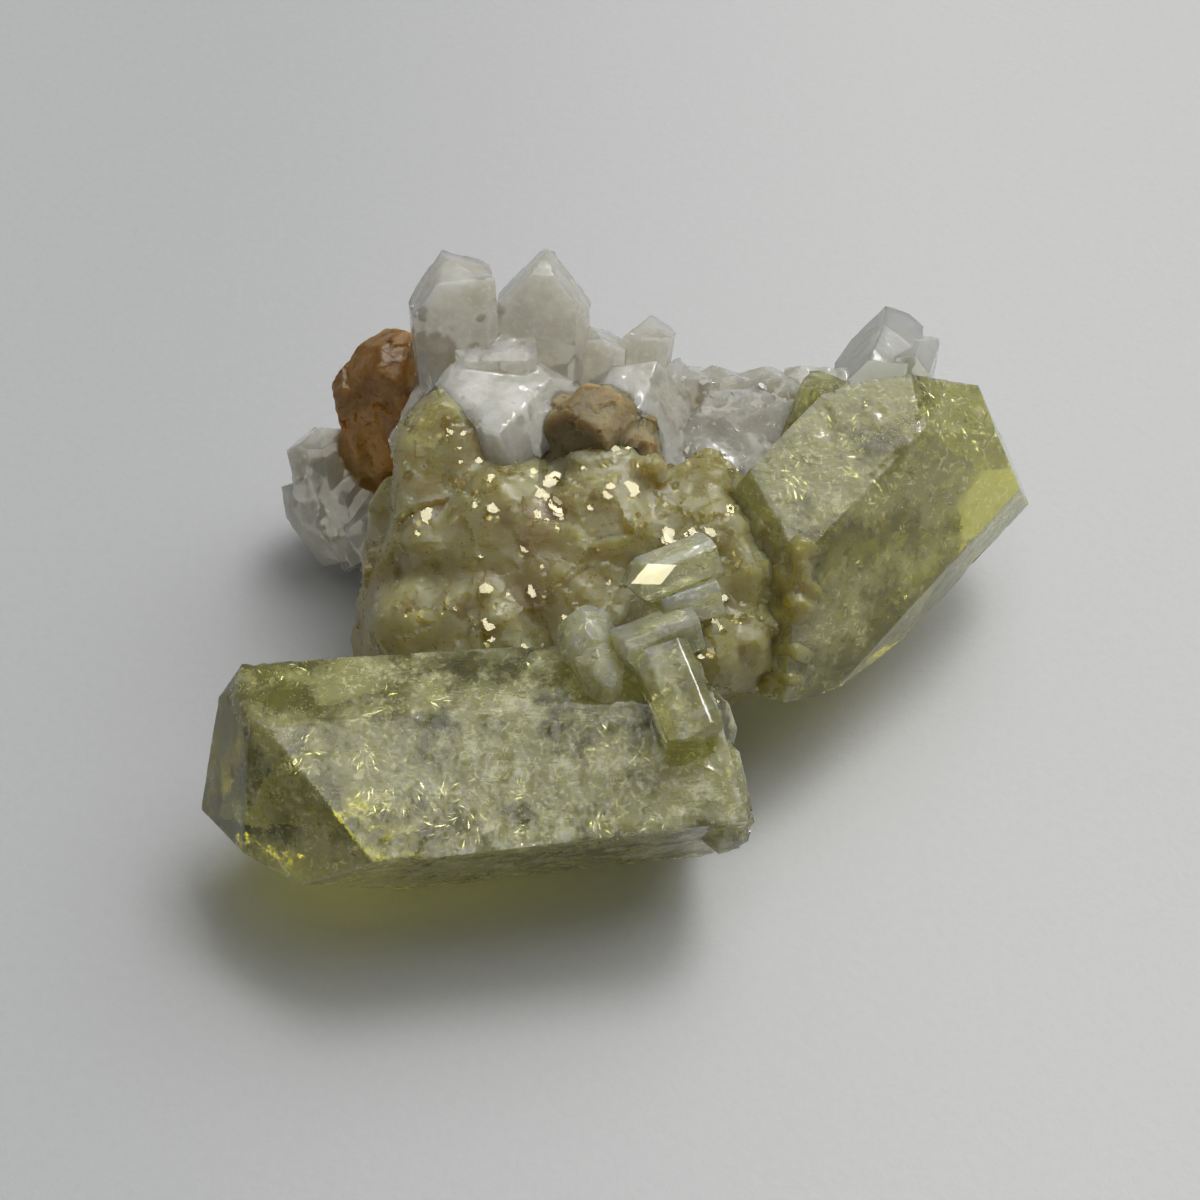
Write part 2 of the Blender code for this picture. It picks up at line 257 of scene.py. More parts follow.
def along_axis(points, azimuth, rise, stretch):
    """The points turned so that X runs along a crystal, then squeezed by stretch along it."""
    turn = np.array(Euler((0.0, -math.radians(rise), math.radians(azimuth)), "XYZ").to_matrix())
    turned = points @ turn
    turned[:, 0] /= stretch
    return turned


def crystal_block(faces):
    """The vertices and faces of a cube cut down by planes, each a normal and a distance."""
    block = bmesh.new()
    bmesh.ops.create_cube(block, size=8.0)
    for normal, distance in faces:
        normal = Vector(normal).normalized()
        geometry = block.verts[:] + block.edges[:] + block.faces[:]
        cut = bmesh.ops.bisect_plane(
            block, geom=geometry, plane_co=normal * distance, plane_no=normal, clear_outer=True
        )
        rim = [e for e in cut["geom_cut"] if isinstance(e, bmesh.types.BMEdge)]
        if rim:
            bmesh.ops.contextual_create(block, geom=rim)
    bmesh.ops.triangulate(block, faces=block.faces[:])
    bmesh.ops.recalc_face_normals(block, faces=block.faces[:])
    points = np.array([v.co[:] for v in block.verts])
    shapes = np.array([[v.index for v in f.verts] for f in block.faces])
    block.free()
    return points, shapes


def crystal_kinds(count, seed, slim, around=None, tops=()):
    """A few small crystal shapes, about one unit wide, with their tips along +Z.

    Those grown in parallel share the direction of their sides and the given faces of their tips.
    """
    chance = np.random.default_rng(seed)
    kinds = []
    for _ in range(count):
        start = chance.uniform(0, math.tau) if around is None else around
        faces = [((0, 0, -1), 0.9)]
        for k in range(6):
            angle = start + math.tau * k / 6 + (chance.uniform(-0.2, 0.2) if around is None else 0.0)
            faces.append(((math.cos(angle), math.sin(angle), 0), chance.uniform(0.30, 0.56)))
        for k in range(3 - len(tops)):
            angle = start + math.tau * k / 3 + chance.uniform(-0.5, 0.5)
            lean = chance.uniform(0.35, 1.3)
            faces.append(((lean * math.cos(angle), lean * math.sin(angle), 1), slim * chance.uniform(0.5, 0.8)))
        for top in tops:
            faces.append((top, slim * chance.uniform(0.35, 0.8)))
        kinds.append(crystal_block(faces))
    return kinds


def grown_over(name, points, turns, sizes, kinds, seed):
    """One mesh of small crystals: one at each point, turned by its own quaternion."""
    chance = np.random.default_rng(seed)
    all_points, all_shapes, start = [], [], 0
    for point, turn, size in zip(points, turns, sizes):
        shape_points, shapes = kinds[chance.integers(len(kinds))]
        stretch = size * MM * np.array([chance.uniform(0.75, 1.3), chance.uniform(0.75, 1.3), 1.0])
        all_points.append((shape_points * stretch) @ np.array(turn.to_matrix()).T + point)
        all_shapes.append(shapes + start)
        start += len(shape_points)
    mesh = bpy.data.meshes.new(name)
    mesh.from_pydata(np.concatenate(all_points).tolist(), [], np.concatenate(all_shapes).tolist())
    mesh.update()
    return linked(name, mesh)


def pointing(ups, seed):
    """For each direction, a turn that brings +Z to it, at a random angle about itself."""
    chance = np.random.default_rng(seed)
    spins = chance.uniform(0, math.tau, len(ups))
    return [
        Vector(up).to_track_quat("Z", "Y") @ Euler((0, 0, spin)).to_quaternion() for up, spin in zip(ups, spins)
    ]


def spots_on(made, count, seed, wanted=None):
    """Random points spread evenly over the object's surface, with their normals."""
    mesh = made.data
    mesh.calc_loop_triangles()
    tris = np.empty(len(mesh.loop_triangles) * 3, np.int64)
    mesh.loop_triangles.foreach_get("vertices", tris)
    tris = tris.reshape(-1, 3)
    points, _ = read_points(made)
    a, b, c = points[tris[:, 0]], points[tris[:, 1]], points[tris[:, 2]]
    cross = np.cross(b - a, c - a)
    area = np.linalg.norm(cross, axis=1)
    weight = area.copy()
    if wanted is not None:
        weight *= wanted((a + b + c) / 3, cross / np.maximum(area, 1e-15)[:, None])
    chance = np.random.default_rng(seed)
    pick = chance.choice(len(tris), count, p=weight / weight.sum())
    u, v = chance.random((2, count, 1))
    over = u + v > 1
    u, v = np.where(over, 1 - u, u), np.where(over, 1 - v, v)
    spots = a[pick] + u * (b - a)[pick] + v * (c - a)[pick]
    return spots, cross[pick] / np.maximum(area[pick], 1e-15)[:, None]


# Materials ------------------------------------------------------------------


def material(name, **sockets):
    """A new Principled material with these values set on its own sockets."""
    made = bpy.data.materials.new(name)
    made.use_nodes = True
    shader = made.node_tree.nodes["Principled BSDF"]
    for socket, value in sockets.items():
        shader.inputs[socket.replace("_", " ")].default_value = value
    return made, made.node_tree, shader


def add_node(tree, kind, inputs=(), **settings):
    """A new node with these settings, its inputs given by name as values or as links."""
    node = tree.nodes.new(kind)
    for key, value in settings.items():
        setattr(node, key, value)
    for key, value in dict(inputs).items():
        if isinstance(value, bpy.types.NodeSocket):
            tree.links.new(value, node.inputs[key])
        else:
            node.inputs[key].default_value = value
    return node


def place_vector(tree, azimuth=0.0, rise=0.0, stretch=1.0):
    """Object coordinates in millimetres, turned to a crystal's axis and squeezed along it."""
    where = add_node(tree, "ShaderNodeTexCoord").outputs["Object"]
    turned = add_node(
        tree,
        "ShaderNodeMapping",
        {"Vector": where, "Rotation": (0, math.radians(rise), -math.radians(azimuth))},
    )
    turned.inputs["Scale"].default_value = (1000 / stretch, 1000, 1000)
    return turned.outputs["Vector"]


def noise_value(tree, vector, size, detail=3.0, rough=0.55, swirl=0.0):
    """Noise whose features are about size millimetres wide, drawn out into swirls if wanted."""
    made = add_node(
        tree,
        "ShaderNodeTexNoise",
        {"Vector": vector, "Scale": 1 / size, "Detail": detail, "Roughness": rough, "Distortion": swirl},
    )
    return made.outputs[0]


def spread(tree, value, low, high, to_low=0.0, to_high=1.0):
    """The value mapped smoothly from low..high to to_low..to_high."""
    made = add_node(
        tree,
        "ShaderNodeMapRange",
        {"Value": value, "From Min": low, "From Max": high, "To Min": to_low, "To Max": to_high},
        interpolation_type="SMOOTHSTEP",
    )
    return made.outputs[0]


def product(tree, first, second):
    """One value times another."""
    return add_node(tree, "ShaderNodeMath", {0: first, 1: second}, operation="MULTIPLY").outputs[0]


def wisps(tree, vector, size, width, most, lengths):
    """Thin curved threads, broken where lengths falls off: most on a thread and 0 beside it."""
    swirl = noise_value(tree, vector, size, 2.0, 0.5, 1.1)
    away = add_node(tree, "ShaderNodeMath", {0: swirl, 1: 0.5}, operation="SUBTRACT").outputs[0]
    away = add_node(tree, "ShaderNodeMath", {0: away}, operation="ABSOLUTE").outputs[0]
    return product(tree, spread(tree, away, 0.0, width, most, 0.0), lengths)


def blend(tree, factor, first, second):
    """A colour between two others."""
    made = add_node(tree, "ShaderNodeMix", data_type="RGBA")
    for key, value in ((0, factor), (6, first), (7, second)):
        if isinstance(value, bpy.types.NodeSocket):
            tree.links.new(value, made.inputs[key])
        else:
            made.inputs[key].default_value = value if key == 0 else (*value, 1.0)
    return made.outputs[2]


def bumps(tree, shader, layers):
    """Chains bump layers, each a height, a strength and a depth in millimetres, into the shader."""
    normal = None
    for height, strength, depth in layers:
        made = add_node(
            tree, "ShaderNodeBump", {"Height": height, "Strength": strength, "Distance": depth * MM}
        )
        if normal is not None:
            tree.links.new(normal, made.inputs["Normal"])
        normal = made.outputs["Normal"]
    tree.links.new(normal, shader.inputs["Normal"])


def absorb(made, tree, colour, density):
    """Fills the body with a plain absorbing volume."""
    volume = add_node(
        tree, "ShaderNodeVolumeAbsorption", {"Color": (*colour, 1.0), "Density": density}
    )
    tree.links.new(volume.outputs[0], tree.nodes["Material Output"].inputs["Volume"])
    return made


def brazilianite(name, azimuth, rise, haze_from, haze_to, also, colours, clear, density, icy, seed):
    """Clear yellow-green crystal with milky patches, fine threads and growth lines.

    The points, in millimetres, are where the crystal is clearest, where it is haziest, and another hazy
    place. The colours are those of its clear and its milky parts, and icy says how white the haze gets.
    """
    made, tree, shader = material(name, IOR=1.6, Roughness=0.0, Subsurface_Weight=1.0, Subsurface_Scale=1.0)
    shader.inputs["Subsurface Radius"].default_value = (2.0 * MM, 1.8 * MM, 0.6 * MM)
    place = place_vector(tree)
    lines = place_vector(tree, azimuth, rise, 8.0)
    start, end = Vector(haze_from), Vector(haze_to)
    way = (end - start) / (end - start).length_squared
    along = add_node(tree, "ShaderNodeVectorMath", {0: place, 1: way}, operation="DOT_PRODUCT")
    far = along.outputs["Value"]
    slope = spread(tree, far, start.dot(way), end.dot(way), -0.10, 0.10)
    other = add_node(tree, "ShaderNodeVectorMath", {0: place, 1: Vector(also)}, operation="DISTANCE")
    nearby = spread(tree, other.outputs["Value"], 2.0, 6.5, 0.28, 0.0)
    base = noise_value(tree, place, 2.4 + 0.1 * seed, 4.0, 0.68)
    shifted = add_node(tree, "ShaderNodeMath", {0: base, 1: slope}, operation="ADD").outputs[0]
    shifted = add_node(tree, "ShaderNodeMath", {0: shifted, 1: nearby}, operation="ADD").outputs[0]
    cloud = spread(tree, shifted, 0.37, 0.65)
    fine = noise_value(tree, place, 0.45, 3.0, 0.75, 0.8)
    grain = spread(tree, fine, 0.50, 0.72, 0.0, 0.55)
    thread = wisps(tree, place, 0.9, 0.012, 0.35, spread(tree, base, 0.52, 0.62))
    crack = wisps(tree, lines, 1.6, 0.010, 0.8, spread(tree, fine, 0.46, 0.56))
    ice = product(
        tree,
        spread(tree, far, start.dot(way) + 0.75, end.dot(way) + 0.05),
        spread(tree, noise_value(tree, place, 1.3, 4.0, 0.75), 0.48, 0.72, 0.0, icy),
    )
    hazy = product(tree, cloud, spread(tree, grain, 0.0, 0.55, 0.45, 0.9))
    milky = add_node(tree, "ShaderNodeMath", {0: hazy, 1: thread}, operation="ADD").outputs[0]
    milky = add_node(tree, "ShaderNodeMath", {0: milky, 1: ice}, operation="ADD").outputs[0]
    body = blend(tree, cloud, *colours)
    body = blend(tree, product(tree, cloud, grain), body, (0.92, 0.91, 0.62))
    body = blend(tree, thread, body, (0.97, 0.97, 0.86))
    body = blend(tree, ice, body, (0.93, 0.93, 0.84))
    tree.links.new(blend(tree, crack, body, (0.30, 0.28, 0.08)), shader.inputs["Base Color"])
    tree.links.new(spread(tree, milky, 0.0, 1.0, clear, clear - 0.4), shader.inputs["Transmission Weight"])
    bumps(
        tree,
        shader,
        [
            (noise_value(tree, lines, 0.35, 2.0), 0.25, 0.03),
            (noise_value(tree, place, 0.9, 2.0, 0.65), 0.45, 0.10),
        ],
    )
    return absorb(made, tree, (0.84, 0.82, 0.26), density)


def cluster_stone(name):
    """Translucent olive crystal mass, paler in patches, stained brown in others, with fine threads, and painted shade
    that darkens it towards +X.
    """
    made, tree, shader = material(
        name, IOR=1.5, Transmission_Weight=0.64, Subsurface_Weight=1.0, Subsurface_Scale=1.0
    )
    shader.inputs["Subsurface Radius"].default_value = (2.3 * MM, 1.7 * MM, 0.5 * MM)
    place = place_vector(tree)
    upright = place_vector(tree, 90.0, 60.0, 4.0)
    painted_shade_x = add_node(tree, "ShaderNodeSeparateXYZ", {"Vector": place}).outputs["X"]
    cloud = noise_value(tree, place, 1.8, 4.0, 0.68)
    patch = spread(tree, cloud, 0.36, 0.66)
    stain = spread(tree, noise_value(tree, place, 3.2, 3.0, 0.6), 0.50, 0.70, 0.0, 0.7)
    lines = noise_value(tree, upright, 0.35, 4.0, 0.72)
    grain = spread(tree, noise_value(tree, place, 0.28, 3.0, 0.75), 0.52, 0.74, 0.0, 0.4)
    body = blend(tree, patch, (0.66, 0.58, 0.24), (0.80, 0.73, 0.40))
    body = blend(tree, stain, body, (0.64, 0.45, 0.20))
    # painted shade: the body is blended to a darker olive towards +X, where the light from the back right falls more
    # strongly
    body = blend(tree, spread(tree, painted_shade_x, -2.0, 7.0, 0.0, 0.7), body, (0.53, 0.47, 0.15))
    body = blend(tree, spread(tree, lines, 0.52, 0.72, 0.0, 0.45), body, (0.90, 0.86, 0.58))
    body = blend(tree, grain, body, (0.92, 0.86, 0.58))
    thread = wisps(tree, place, 0.9, 0.014, 0.5, patch)
    body = blend(tree, thread, body, (0.98, 0.97, 0.86))
    pore = spread(tree, lines, 0.30, 0.42, 0.7, 0.0)
    tree.links.new(blend(tree, pore, body, (0.40, 0.33, 0.11)), shader.inputs["Base Color"])
    tree.links.new(spread(tree, cloud, 0.35, 0.7, 0.26, 0.52), shader.inputs["Roughness"])
    bumps(tree, shader, [(noise_value(tree, place, 0.4, 3.0, 0.7), 0.5, 0.08)])
    return absorb(made, tree, (0.80, 0.74, 0.12), 120.0)


def glassy(name):
    """Clear colourless grains, seen mostly by what their flat faces mirror."""
    made, tree, shader = material(name, IOR=1.58, Transmission_Weight=1.0, Roughness=0.0)
    shader.inputs["Specular Tint"].default_value = (0.86, 0.80, 0.56, 1.0)
    place = place_vector(tree)
    tint = spread(tree, noise_value(tree, place, 0.7, 3.0), 0.4, 0.65)
    tree.links.new(blend(tree, tint, (0.93, 0.90, 0.72), (0.99, 0.98, 0.92)), shader.inputs["Base Color"])
    return made


def white_stone(name, pale, dark, clear, seed):
    """Icy translucent albite with cloudy patches and a few rusty specks."""
    made, tree, shader = material(
        name, IOR=1.53, Roughness=0.0, Transmission_Weight=clear, Subsurface_Weight=1.0, Subsurface_Scale=1.0
    )
    shader.inputs["Subsurface Radius"].default_value = (3.0 * MM, 2.8 * MM, 2.3 * MM)
    place = place_vector(tree)
    cloud = noise_value(tree, place, 2.2 + seed, 4.0, 0.66)
    patch = spread(tree, cloud, 0.36, 0.66)
    grain = spread(tree, noise_value(tree, place, 0.35, 3.0, 0.75), 0.52, 0.74, 0.0, 0.6)
    rust = spread(tree, noise_value(tree, place, 0.8, 2.0, 0.5), 0.71, 0.78, 0.0, 0.35)
    body = blend(tree, grain, blend(tree, patch, dark, pale), (0.97, 0.97, 0.93))
    tree.links.new(blend(tree, rust, body, (0.50, 0.40, 0.26)), shader.inputs["Base Color"])
    bumps(tree, shader, [(noise_value(tree, place, 0.4, 2.0, 0.65), 0.35, 0.05)])
    return made


def brown_stone(name, dark, pale, clear, rough):
    """Iron-stained crystal, dark amber with paler rubbed patches and dark pits."""
    made, tree, shader = material(
        name, IOR=1.5, Transmission_Weight=clear, Subsurface_Weight=1.0, Subsurface_Scale=1.0
    )
    shader.inputs["Subsurface Radius"].default_value = (1.8 * MM, 0.9 * MM, 0.25 * MM)
    place = place_vector(tree)
    cloud = noise_value(tree, place, 1.5, 4.0, 0.72, 0.5)
    patch = spread(tree, cloud, 0.38, 0.64)
    pit = spread(tree, noise_value(tree, place, 0.5, 3.0, 0.7), 0.32, 0.44, 0.8, 0.0)
    body = blend(tree, pit, blend(tree, patch, dark, pale), (0.16, 0.09, 0.02))
    tree.links.new(body, shader.inputs["Base Color"])
    tree.links.new(spread(tree, cloud, 0.35, 0.7, rough, rough + 0.25), shader.inputs["Roughness"])
    bumps(tree, shader, [(noise_value(tree, place, 0.35, 3.0, 0.7), 0.7, 0.10)])
    return absorb(made, tree, (0.78, 0.60, 0.14), 200.0)


def veil_stone(name):
    """The silvery skin of a healed crack inside a crystal."""
    made, tree, shader = material(name, Roughness=0.18, Metallic=0.9)
    shader.inputs["Base Color"].default_value = (0.95, 0.96, 0.86, 1.0)
    return made


def grain_stone(name):
    """Pale milky grains inside a crystal."""
    made, tree, shader = material(name, Roughness=0.6)
    shader.inputs["Base Color"].default_value = (0.95, 0.95, 0.80, 1.0)
    return made


# Pieces ---------------------------------------------------------------------


def finish_piece(made, skin, slot, *nodes):
    """Gives a piece its material and its body, and hides the CAD nodes that it stands for. The slot is not used."""
    made.data.materials.clear()
    made.data.materials.append(skin)
    if nodes:
        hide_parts(*nodes)
    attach(made, "root")
    return made


def smooth(made, on=True):
    """Smooth or flat shading all over."""
    made.data.polygons.foreach_set("use_smooth", [on] * len(made.data.polygons))
    made.data.update()


def big_crystal(node, step, azimuth, rise, seed):
    """A large prism with growth lines along it, etched faces and chipped edges."""
    made = fine_copy(node, node + "_shown", step, azimuth, rise, 0.05)
    points, normals = read_points(made)
    near = edge_distance(points, sharp_edges(node)) / MM
    lines = along_axis(points, azimuth, rise, 16.0)
    height = 0.014 * noise(lines, 0.5, seed) + 0.035 * noise(points, 2.2, seed + 3)
    height -= 0.035 * ease(noise(points, 0.9, seed + 5), 0.3, 0.6)
    chip = ease(noise(points, 1.3, seed + 9), 0.12, 0.5) * (1 - ease(near, 0.0, 0.45))
    height -= chip * (0.10 + 0.08 * facets(points, 0.5, seed + 11))
    write_points(made, points + normals * (height * MM)[:, None])
    crisp(made)
    return made


def diamonds(name, spots, longs, ups, lengths, widths, thick=0.010):
    """One mesh of thin pointed flakes, each along its own direction and facing its own way."""
    count = len(spots)
    ups = ups / np.linalg.norm(ups, axis=1)[:, None]
    longs = longs - ups * np.einsum("ij,ij->i", longs, ups)[:, None]
    longs /= np.maximum(np.linalg.norm(longs, axis=1), 1e-9)[:, None]
    sides = np.cross(ups, longs)
    long_step, side_step = longs * (lengths * MM / 2)[:, None], sides * (widths * MM / 2)[:, None]
    rise = ups * thick * MM / 2
    corners = [
        spots + long_step,
        spots + side_step,
        spots - long_step,
        spots - side_step,
        spots + rise,
        spots - rise,
    ]
    points = np.stack(corners, axis=1).reshape(-1, 3)
    one = np.array([[0, 1, 4], [1, 2, 4], [2, 3, 4], [3, 0, 4], [1, 0, 5], [2, 1, 5], [3, 2, 5], [0, 3, 5]])
    shapes = (one[None] + 6 * np.arange(count)[:, None, None]).reshape(-1, 3)
    mesh = bpy.data.meshes.new(name)
    mesh.from_pydata(points.tolist(), [], shapes.tolist())
    mesh.update()
    return linked(name, mesh)


def inside(made, spots, least):
    """Which of the spots lie inside the object, at least this many millimetres below its surface."""
    mesh = made.data
    tree = BVHTree.FromPolygons([v.co for v in mesh.vertices], [p.vertices[:] for p in mesh.polygons])
    kept = []
    for spot in spots:
        hit, normal, _, far = tree.find_nearest(Vector(spot))
        kept.append(far > least * MM and (Vector(spot) - hit).dot(normal) < 0)
    return np.array(kept)


def specks(name, made, count, seed, reach, sizes, patch):
    """Milky clouds inside a crystal: pale grains that thin out with depth, in patches."""
    chance = np.random.default_rng(seed)
    spots, outs = spots_on(made, 3 * count, seed, lambda at, out: np.clip(out[:, 2] - 0.55, 0, 1))
    spots = spots - outs * (0.08 + reach * chance.random((len(spots), 1)) ** 1.6) * MM
    dense = ease(noise(spots, patch, seed + 1), 0.0, 0.45)
    spots = spots[chance.random(len(spots)) < 0.04 + 0.96 * dense][:count]
    spots = spots[inside(made, spots, 0.06)]
    longs, ups = chance.normal(size=(2, len(spots), 3))
    lengths = chance.uniform(*sizes, len(spots))
    return diamonds(name, spots, longs, ups, lengths, lengths * chance.uniform(0.4, 0.9, len(spots)), 0.03)


def feathers(name, made, places, count, seed, lean, wanted):
    """Healed cracks inside a crystal: fans of thin silvery slivers, at the places given and at others.

    A place is a point on the surface and the reach of its fan, all in millimetres.
    """
    chance = np.random.default_rng(seed)
    centres, outs = spots_on(made, count, seed, wanted)
    fans = [(np.array(place[:3]) * MM, place[3], int(110 * place[3])) for place in places]
    fans += [(centre - out * MM * 0.2, chance.uniform(0.3, 1.3), 40) for centre, out in zip(centres, outs)]
    spots, longs, ups, lengths, widths = [], [], [], [], []
    for centre, reach, many in fans:
        up = np.array(lean) + chance.normal(size=3) * 0.14
        up /= np.linalg.norm(up)
        first = np.cross(up, chance.normal(size=3))
        first /= np.linalg.norm(first)
        second = np.cross(up, first)
        deep = chance.uniform(0.2, 1.0)
        width, curl = chance.uniform(0.7, 3.0), chance.uniform(-0.9, 0.9)
        for _ in range(many):
            far = reach * chance.random() ** 0.6
            turn = chance.uniform(-width, width) + curl * far / reach
            out = first * math.cos(turn) + second * math.sin(turn)
            flow = out * math.cos(curl) + np.cross(up, out) * math.sin(curl)
            spots.append(centre + (out * far - up * (deep + chance.normal() * 0.16)) * MM)
            longs.append(flow + chance.normal(size=3) * 0.15)
            ups.append(up + chance.normal(size=3) * 0.16)
            lengths.append(0.06 + 0.5 * chance.random() ** 1.7)
            widths.append(lengths[-1] * chance.uniform(0.06, 0.26))
    spots, longs, ups = np.array(spots), np.array(longs), np.array(ups)
    lengths, widths = np.array(lengths), np.array(widths)
    kept = inside(made, spots, 0.07)
    return diamonds(name, spots[kept], longs[kept], ups[kept], lengths[kept], widths[kept])


OLIVE = ((0.78, 0.78, 0.42), (0.88, 0.87, 0.47))
STRAW = ((0.90, 0.87, 0.52), (0.94, 0.92, 0.68))
olive_front = brazilianite(
    "brazilianite_front", 4.5, 0.0, (-19.0, -12.0, 6.0), (-11.0, -12.0, 7.0), (-14.0, -15.0, 3.0),
    OLIVE, 0.94, 280.0, 0.45, 1,
)
olive_right = brazilianite(
    "brazilianite_right", 46.4, 14.0, (15.0, -1.0, 4.0), (5.5, 2.5, 12.0), (17.5, 5.5, 11.0),
    OLIVE, 0.93, 300.0, 0.0, 4,
)
pale_olive = brazilianite(
    "pale_brazilianite", 20.0, 0.0, (4.0, -8.0, 10.0), (12.0, -4.0, 12.0), (0.0, -4.0, 13.0),
    STRAW, 0.88, 190.0, 0.3, 3,
)
druse = cluster_stone("brazilianite_druse")
glitter = glassy("brazilianite_crust")
white = white_stone("albite_white", (0.88, 0.86, 0.77), (0.70, 0.67, 0.57), 0.58, 0.0)
sugary = white_stone("albite_sugar", (0.80, 0.79, 0.74), (0.66, 0.64, 0.58), 0.40, 0.0)
sugary.node_tree.nodes["Principled BSDF"].inputs["Subsurface Weight"].default_value = 0.0
colourless = white_stone("albite_clear", (0.96, 0.97, 0.89), (0.89, 0.90, 0.81), 0.66, 1.0)
brown = brown_stone("albite_stained", (0.36, 0.18, 0.02), (0.60, 0.36, 0.11), 0.66, 0.30)
rusty = brown_stone("albite_rusty", (0.25, 0.19, 0.09), (0.38, 0.31, 0.17), 0.30, 0.55)
silver = veil_stone("healed_crack")
milky = grain_stone("milky_grains")

# The large crystals
front = big_crystal("brazilianite_front_crystal", 0.17, 4.5, 0.0, 11)
right = big_crystal("brazilianite_right_crystal", 0.17, 46.4, 14.0, 31)
UP_FACING = lambda at, out: np.clip(out[:, 2] - 0.35, 0, 1)
KEY_LEAN = (0.12, -0.27, 0.95)
# points on each crystal where a fan of cracks shows, and the fan's reach
FRONT_FANS = [
    (-10.9, -11.8, 9.9, 1.6),
    (-12.8, -7.3, 10.9, 0.7),
    (-15.4, -11.6, 8.9, 0.5),
    (-15.2, -10.9, 9.9, 0.6),
    (-7.8, -12.8, 9.5, 1.8),
    (-5.1, -14.0, 8.9, 0.7),
    (-1.2, -12.9, 9.2, 0.9),
    (1.4, -13.4, 9.0, 0.9),
    (-3.7, -14.4, 8.7, 0.6),
    (-9.0, -8.0, 11.0, 0.8),
    (-11.8, -10.1, 10.6, 1.2),
]
RIGHT_FANS = [
    (14.9, 6.2, 14.6, 0.9),
    (14.4, 6.6, 14.9, 1.3),
    (15.3, 5.6, 14.1, 0.8),
    (9.2, 4.0, 15.0, 1.6),
    (12.0, 2.3, 13.4, 1.0),
    (6.9, 2.5, 14.5, 1.4),
]
front_veils = feathers("front_veils", front, FRONT_FANS, 26, 5, KEY_LEAN, UP_FACING)
right_veils = feathers("right_veils", right, RIGHT_FANS, 26, 6, KEY_LEAN, UP_FACING)
front_specks = specks("front_specks", front, 3000, 8, 1.6, (0.04, 0.14), 2.2)
right_specks = specks("right_specks", right, 2500, 9, 1.4, (0.04, 0.14), 2.4)
finish_piece(front, olive_front, "brazilianite", "brazilianite_front_crystal")
finish_piece(right, olive_right, "brazilianite", "brazilianite_right_crystal")
finish_piece(front_veils, silver, "brazilianite")
finish_piece(right_veils, silver, "brazilianite")
finish_piece(front_specks, milky, "brazilianite")
finish_piece(right_specks, milky, "brazilianite")

# The small prisms
small = fine_copy("brazilianite_small_crystals", "small_crystals_shown", 0.14, 20.0, 0.0)
bond(small, "brazilianite_front_crystal", "brazilianite_right_crystal")
points, normals = read_points(small)
rough = 0.04 * noise(points, 0.6, 51) + 0.05 * noise(points, 2.0, 52)
write_points(small, points + normals * (rough * MM)[:, None])
crisp(small)
finish_piece(small, pale_olive, "pale_brazilianite", "brazilianite_small_crystals")

def crusted(node, name, voxel, count, sizes, sunk, growth, wanted, seed, slim):
    """A CAD node overgrown with small crystals, all fused into one mesh.

    The crystals point along the surface's normal, drawn towards the direction of growth.
    """
    bare = linked(name + "_bare", welded(node))
    chance = np.random.default_rng(seed)
    spots, outs = spots_on(bare, count, seed, wanted)
    ups = outs + np.array(growth) + chance.normal(size=outs.shape) * 0.3
    widths = sizes[0] + (sizes[1] - sizes[0]) * chance.random(count) ** 2.2
    spots = spots - outs * (widths * sunk * MM)[:, None]
    grains = grown_over(name + "_grains", spots, pointing(ups, seed), widths, crystal_kinds(12, seed, slim), seed)
    made = fused(name, voxel, bare.data, grains.data)
    bpy.data.objects.remove(bare)
    bpy.data.objects.remove(grains)
    return made


# The cluster: a softened mass with a crust of small crystals drawn towards one direction of growth
cluster = crusted(
    "brazilianite_cluster",
    "cluster_shown",
    0.15,
    50,
    (0.5, 1.4),
    0.75,
    (-0.05, 0.3, 0.5),
    lambda at, out: np.clip(out[:, 2] + 0.35, 0, 1) * (at[:, 2] > 0.003),
    64,
    1.0,
)
soften(cluster, 40)
bond(cluster, "brazilianite_front_crystal", "brazilianite_right_crystal", "brazilianite_small_crystals")
points, normals = read_points(cluster)
up_lines = along_axis(points, 95, 60, 7.0)
rough = 0.20 * facets(points, 2.2, 61) + 0.10 * facets(points, 0.9, 62) + 0.03 * noise(up_lines, 0.5, 63)
write_points(cluster, points + normals * (rough * MM)[:, None])
crisp(cluster, 26.0)

# The cluster's crystals spread over the nearest face of the right crystal
spots, outs = spots_on(
    right,
    260,
    91,
    lambda at, out: (out @ np.array((-0.69, -0.55, 0.47)) > 0.93) * np.clip(14.5 - at[:, 2] / MM, 0, 4),
)
chance = np.random.default_rng(92)
sizes = 0.5 + 0.9 * chance.random(len(spots)) ** 1.6
ups = outs + np.array((-0.1, 0.1, 0.5)) + chance.normal(size=outs.shape) * 0.2
grains = grown_over(
    "overgrowth", spots - outs * (0.45 * sizes * MM)[:, None], pointing(ups, 93), sizes, crystal_kinds(12, 94, 0.8), 95
)
overgrowth = fused("overgrowth_shown", 0.13, grains.data)
bpy.data.objects.remove(grains)
soften(overgrowth, 4)
crisp(overgrowth, 30.0)
finish_piece(overgrowth, druse, "cluster_brazilianite")

